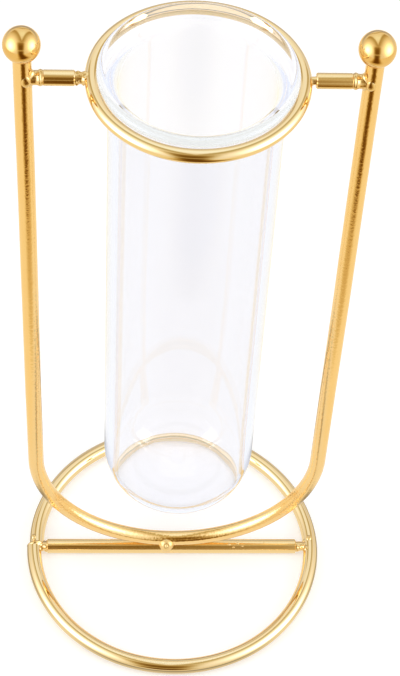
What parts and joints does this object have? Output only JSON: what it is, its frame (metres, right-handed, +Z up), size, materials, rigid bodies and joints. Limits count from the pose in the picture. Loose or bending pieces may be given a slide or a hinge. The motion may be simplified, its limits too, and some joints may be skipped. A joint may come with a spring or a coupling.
{
  "type": "test tube vase",
  "caption": "Bud vase: a round-bottomed glass tube hung by its lip in a wire collar, on a U-shaped wire stand with ball ends and a ring base.",
  "frame": {"origin": "middle of the base ring, on the surface that it stands on", "axes": "+Z up along the tube, +X from the left leg to the right leg, -Y to the front"},
  "size_m": [0.102, 0.1, 0.24],
  "materials": {
    "plated_wire": "polished",
    "clear_glass": "polished"
  },
  "bodies": {
    "stand": {"base_ring": "plated_wire", "ring_seam_weld": "plated_wire", "cross_bar": "plated_wire", "upright_frame": "plated_wire", "foot_weld": "plated_wire", "tube_collar": "plated_wire", "ball_left": "plated_wire", "ball_right": "plated_wire", "arm_left": "plated_wire", "arm_right": "plated_wire", "arm_leg_weld_left": "plated_wire", "arm_leg_weld_right": "plated_wire", "arm_collar_weld_left": "plated_wire", "arm_collar_weld_right": "plated_wire", "bar_weld_left": "plated_wire", "bar_weld_right": "plated_wire"},
    "tube": {"glass_tube": "clear_glass"}
  },
  "joints": [
    {"name": "tube_lift", "type": "slide", "parent": "stand", "child": "tube", "axis": [0, 0, 1], "range_m": [0, 0.19]}
  ]
}
